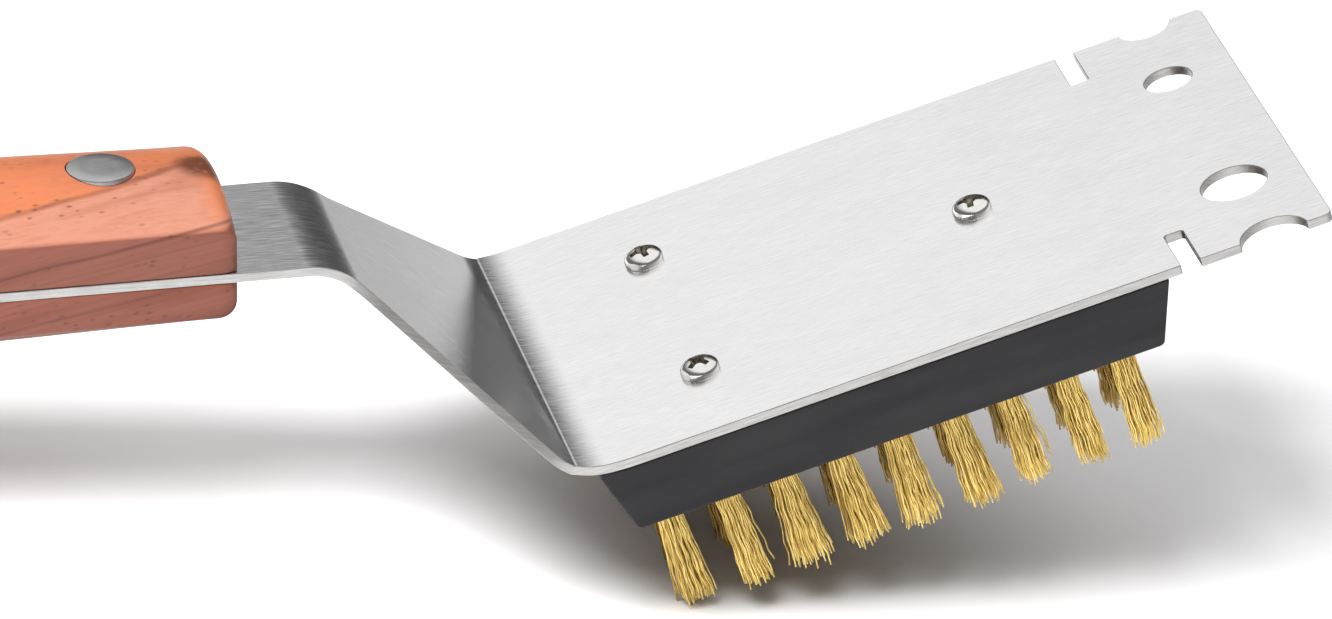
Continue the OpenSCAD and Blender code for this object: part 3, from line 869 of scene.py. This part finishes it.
def block_holes():
    """Blind, chamfered holes for the tufts, as one object that cuts the block."""
    profile = [
        (TUFT_ROOT_R + 0.7, BLOCK_BOTTOM - 0.5), (TUFT_ROOT_R + 0.2, BLOCK_BOTTOM + 0.1),
        (TUFT_ROOT_R + 0.05, BLOCK_BOTTOM + 0.35),
        (TUFT_ROOT_R + 0.05, BLOCK_BOTTOM + TUFT_DEPTH),
    ]
    verts, faces, sides = [], [], TUFT_HOLE_SIDES
    for _, _, x, y in tuft_places():
        base = len(verts)
        for r, z in profile:
            verts += [(x + px, y + py, z) for px, py in arc(0, 0, r, 0, 360, sides)[:-1]]
        for k in range(len(profile) - 1):
            for i in range(sides):
                j = (i + 1) % sides
                a, b = base + k * sides, base + (k + 1) * sides
                faces.append((a + i, a + j, b + j, b + i))
        faces.append(tuple(base + i for i in reversed(range(sides))))
        faces.append(tuple(base + (len(profile) - 1) * sides + i for i in range(sides)))
    return mesh_object("holes", verts, faces)


def brush_block():
    """Moulded block with sloping ends, eased edges and a hole for each tuft."""
    low_in = BLOCK_H * math.tan(BLOCK_DRAFT)
    end = BLOCK_START + BLOCK_L
    corners = [
        (BLOCK_START, BLOCK_TOP, BLOCK_TOP_R), (end, BLOCK_TOP, BLOCK_TOP_R),
        (end - low_in, BLOCK_BOTTOM, BLOCK_CORNER_R),
        (BLOCK_START + low_in, BLOCK_BOTTOM, BLOCK_CORNER_R),
    ]
    outer = filleted(corners, steps=6, closed=True)
    width = PLATE_W - 2 * BLOCK_INSET
    points, faces, _, _ = rounded_slab(outer, [], width, BLOCK_EDGE_R, 4)
    obj = mesh_object("moulded_block", [(u, d - width / 2, v) for u, v, d in points], faces)
    cut(obj, [block_holes()])
    finished(obj, PLATE, PLASTIC, ["brush_block"], angle=40)
    weigh_normals(obj)


def tuft_places():
    """Row, column and place of every tuft."""
    for row in range(1, TUFT_ROWS + 1):
        for col in range(1, TUFT_COLS + 1):
            x = FIRST_TUFT + (col - 1) * TUFT_PITCH_X
            yield row, col, x, (row - (TUFT_ROWS + 1) / 2) * TUFT_PITCH_Y


def recess_cutter(turn, x, y):
    """Cross recess: two tapered blades and a pointed centre."""
    top = SCREW_HEAD_H + RECESS_OVER
    parts = []
    for quarter in (0, 90):
        spin = Matrix.Translation((x, y, 0)) @ Matrix.Rotation(math.radians(turn + quarter), 4, "Z")
        verts = []
        for depth, long, wide in RECESS_BLADE:
            for sx, sy in ((-1, -1), (1, -1), (1, 1), (-1, 1)):
                verts.append(spin @ Vector((sx * long, sy * wide, top - depth)))
        faces = [(3, 2, 1, 0), (8, 9, 10, 11)]
        for k in (0, 4):
            for i in range(4):
                j = (i + 1) % 4
                faces.append((k + i, k + j, k + 4 + j, k + 4 + i))
        parts.append(mesh_object("blade", verts, faces))
    point = [(0, top - RECESS_DEPTH - 0.3), (0.25, top - RECESS_DEPTH), (1.05, top - 0.7)]
    parts.append(lathe("point", point + [(1.15, top), (0, top)], x, y, 24))
    return parts


def screw_top(r):
    """Height of a screw's dome at a radius."""
    lift = math.sqrt(max(0.0, 1 - (r / SCREW_HEAD_R) ** 2)) ** 0.9
    return SCREW_SIDE + (SCREW_HEAD_H - SCREW_SIDE) * lift


def screw(i, x, y, turn):
    """Pan head with a cross recess, on a threaded shank in the block."""
    head, shank, root = SCREW_HEAD_R, SCREW_SHANK_R, SCREW_SHANK_R * 0.78
    ridges = [SCREW_L - POINT_L - THREAD_PITCH * k for k in range(THREAD_TURNS)]
    profile = [(0, -SCREW_L), (shank / 4, -SCREW_L + 0.1), (shank * 0.75, -ridges[0])]
    for depth in ridges:
        profile += [(shank, -depth + 0.2), (root, -depth + 0.5)]
    profile += [(root, 0.0), (head - 0.12, 0.0), (head, 0.12), (head, SCREW_SIDE)]
    dome = [head * math.cos(math.radians(d)) for d in range(8, 88, 8)]
    profile += [(r, screw_top(r)) for r in dome] + [(0, SCREW_HEAD_H)]
    obj = lathe(f"screw_{i}_pan_head", profile, x, y, 56)
    cut(obj, recess_cutter(turn, x, y))
    in_recess = []
    for poly in obj.data.polygons:
        r = math.hypot(poly.center.x - x, poly.center.y - y)
        in_recess.append(r < RECESS_REACH and 0.1 < poly.center.z < screw_top(r) - 0.06)
    finished(obj, PLATE, PLATING, [f"screw_{i}"], angle=38)
    # the faces inside the cross take the darker material: painted shade in the recess
    obj.data.materials.append(RECESS)
    for poly, is_recess in zip(obj.data.polygons, in_recess):
        poly.material_index = 1 if is_recess else 0


# ---------------------------------------------------------------- bristles
WIRE_R = 0.135
WIRES, WIRE_SIDES, WIRE_RINGS = 110, 5, 11
CRIMP_LENGTH, CRIMP = 5.4, 0.17
WIRE_DEPTH = TUFT_DEPTH - 1.2
GOLDEN_ANGLE = math.pi * (3 - math.sqrt(5))
LEAST_SPREAD, MOST_SPREAD = 1.2, 1.95  # of the tips, from the width of the root
SCATTER, STRAY_SCATTER = 0.28, 3.0  # of each tip, and how many times more for a stray wire
STRAY_SHARE, STRAY_SHORT = 0.05, 4
UNEVEN_SHORT, UNEVEN_LONG = -1.6, 0.35


def wire(verts, faces, path):
    """Adds a closed tube along a nearly upright path."""
    base, rings = len(verts), len(path)
    for x, y, z in path:
        for i in range(WIRE_SIDES):
            a = 2 * math.pi * i / WIRE_SIDES
            verts.append((x + WIRE_R * math.cos(a), y + WIRE_R * math.sin(a), z))
    for k in range(rings - 1):
        for i in range(WIRE_SIDES):
            j = (i + 1) % WIRE_SIDES
            a, b = base + k * WIRE_SIDES, base + (k + 1) * WIRE_SIDES
            faces.append((a + j, a + i, b + i, b + j))
    faces.append(tuple(base + i for i in range(WIRE_SIDES)))
    last = base + (rings - 1) * WIRE_SIDES
    faces.append(tuple(last + i for i in reversed(range(WIRE_SIDES))))


def tuft(row, col, x, y):
    """One tuft of crimped wires, packed in its hole and fanning out to uneven ends."""
    rng = random.Random(row * 100 + col)
    verts, faces = [], []
    spread = rng.uniform(LEAST_SPREAD, MOST_SPREAD)
    lean = Vector((rng.uniform(0.3, 1.5), rng.uniform(-0.9, 0.7)))
    step = rng.uniform(0, 2 * math.pi)
    for n in range(WIRES):
        r = (TUFT_ROOT_R - WIRE_R) * math.sqrt((n + 0.5) / WIRES)
        a = n * GOLDEN_ANGLE
        root = Vector((r * math.cos(a), r * math.sin(a)))
        stray = rng.random() < STRAY_SHARE
        tip = root * spread * rng.uniform(0.9, 1.1) + lean
        scatter = Vector((rng.gauss(0, SCATTER), rng.gauss(0, SCATTER)))
        tip += scatter * (STRAY_SCATTER if stray else 1.0)
        length = BRISTLE_L + rng.uniform(UNEVEN_SHORT, UNEVEN_LONG)
        length -= rng.uniform(0, STRAY_SHORT) if stray else 0
        length = above_table(x + tip.x, y + tip.y, length)
        phase, way = step + rng.gauss(0, 0.7), rng.gauss(0, 0.7)
        path = []
        for k in range(WIRE_RINGS):
            t = k / (WIRE_RINGS - 1)
            drop = t * length if k else -WIRE_DEPTH
            t_out = t ** 1.15
            wave = CRIMP * min(1, 3 * t) * math.sin(2 * math.pi * drop / CRIMP_LENGTH + phase)
            at = root * (1 - t_out) + tip * t_out
            path.append((
                x + at.x + wave * math.cos(way), y + at.y + wave * math.sin(way),
                BLOCK_BOTTOM - drop,
            ))
        wire(verts, faces, path)
    obj = mesh_object(f"tuft_{row}_{col}_wires", verts, faces)
    finished(obj, PLATE, BRASS, [f"tuft_{row}_{col}"], angle=0)


def above_table(x, y, length):
    """Shortens a wire whose tip would reach below the table."""
    low = (PLATE @ Vector((x, y, BLOCK_BOTTOM - length))).z
    margin = WIRE_R * MM
    if low >= margin:
        return length
    return length - (margin - low) / MM / plate_up.z


# ---------------------------------------------------------------- build the object
spine()
# The lower scale is the upper one turned over about the tang's length.
turned = TANG @ Matrix.Translation((0, 0, -SHEET_T)) @ Matrix.Rotation(math.pi, 4, "X")
handle_scale("wood_scale_upper", "handle_scale_upper", UPPER_SIDE, TANG)
handle_scale("wood_scale_lower", "handle_scale_lower", LOWER_SIDE, turned)
for i, s in enumerate(RIVETS, 1):
    rivet(i, s)
brush_block()
for i, (x, y, turn) in enumerate(SCREWS, 1):
    screw(i, x, y, turn)
for row, col, x, y in tuft_places():
    tuft(row, col, x, y)
clips = frame["nodes"]["tuft_anchors"]
for material_slot in clips.material_slots:
    material_slot.material = CLIP

# ---------------------------------------------------------------- floor, light and camera
FLOOR_HALF = 20.0
floor = mesh_object(
    "floor",
    [(x * FLOOR_HALF, y * FLOOR_HALF, 0) for x, y in ((-1, -1), (1, -1), (1, 1), (-1, 1))],
    [(0, 1, 2, 3)],
)
paper = Shader("pale_floor", Roughness=0.7, Specular_IOR_Level=0.2)
cloud = paper.noise(paper.coords(stretch=(60, 60, 60)), detail=2)
paper.link(paper.mix(cloud, (0.87, 0.865, 0.87), (0.90, 0.895, 0.90)), "Base Color")
floor.data.materials.append(paper.material)


# The studio: a dark corner behind the brush, with its direction and its inner and outer radii
# in degrees, and white surroundings that fall to FRONT_LEVEL low down in front and at the sides
DARK_AZIMUTH, DARK_ELEVATION, DARK_INNER, DARK_OUTER = 25, 13, 15, 34
DARK_CORNER = (0.035, 0.035, 0.038)
FRONT_LEVEL, BACK_LIFT, SIDE_DROP = 0.16, 0.22, 0.35
LOW_SKY, HIGH_SKY = 0.2, 0.6
KEY_AT, KEY_AIM, KEY_SIZE, KEY_POWER = (-0.37, -0.5, 0.98), (0.12, 0, 0), 0.62, 24


def direction(azimuth, elevation):
    """Unit vector; azimuth 0 is +Y and 90 is +X, in degrees."""
    a, e = math.radians(azimuth), math.radians(elevation)
    return Vector((math.sin(a) * math.cos(e), math.cos(a) * math.cos(e), math.sin(e)))


def studio():
    """White surroundings with one dark corner behind the brush, for the steel to mirror."""
    world = bpy.data.worlds.new("studio")
    bpy.context.scene.world = world
    world.use_nodes = True
    n = Nodes(world.node_tree)
    ray = n.add("TexCoord").outputs["Generated"]
    corner = direction(DARK_AZIMUTH, DARK_ELEVATION)
    facing = n.add("VectorMath", [(0, ray), (1, corner)], operation="DOT_PRODUCT")
    inner, outer = math.cos(math.radians(DARK_INNER)), math.cos(math.radians(DARK_OUTER))
    dark = n.ramp(facing.outputs["Value"], outer, inner)
    x, y, z = n.add("SeparateXYZ", [(0, ray)]).outputs
    rise = n.math("ADD", z, n.times(y, BACK_LIFT))
    rise = n.math("ADD", rise, n.times(n.math("ABSOLUTE", x), -SIDE_DROP))
    level = n.span(n.ramp(rise, LOW_SKY, HIGH_SKY), FRONT_LEVEL, 1.0)
    background = n.tree.nodes["Background"]
    n.tree.links.new(n.mix(dark, level, DARK_CORNER), background.inputs["Color"])
    background.inputs["Strength"].default_value = 1.0


def key_light():
    """Soft round light from the upper left, hidden from the steel's reflections."""
    light = bpy.data.lights.new("key", "AREA")
    light.shape = "DISK"
    light.size = KEY_SIZE
    light.energy = KEY_POWER
    obj = bpy.data.objects.new("key", light)
    obj.location = KEY_AT
    aim = Vector(KEY_AIM) - Vector(KEY_AT)
    obj.rotation_euler = aim.to_track_quat("-Z", "Y").to_euler()
    obj.visible_glossy = False
    bpy.context.scene.collection.objects.link(obj)


studio()
key_light()

# Camera, in the plate's frame: its place, what it looks at, and which way its top points
CAMERA_AT = Vector((-96.6, -1431.6, 767.4))
CAMERA_AIM = Vector((22.7, -0.96, 1.77))
CAMERA_TOP = Vector((0.329, 0.424, 0.844))
LENS, SENSOR = 291.1, 36.0
camera_data = bpy.data.cameras.new("camera")
camera_data.lens = LENS
camera_data.sensor_width = SENSOR
camera_data.clip_start = 0.05
camera = bpy.data.objects.new("camera", camera_data)
bpy.context.scene.collection.objects.link(camera)
bpy.context.scene.camera = camera
view_back = (CAMERA_AT - CAMERA_AIM).normalized()
view_right = CAMERA_TOP.cross(view_back).normalized()
turned_view = Matrix((view_right, view_back.cross(view_right), view_back)).transposed()
to_row = PLATE.to_3x3() * (1 / MM)
camera.matrix_world = Matrix.Translation(PLATE @ CAMERA_AT) @ (to_row @ turned_view).to_4x4()
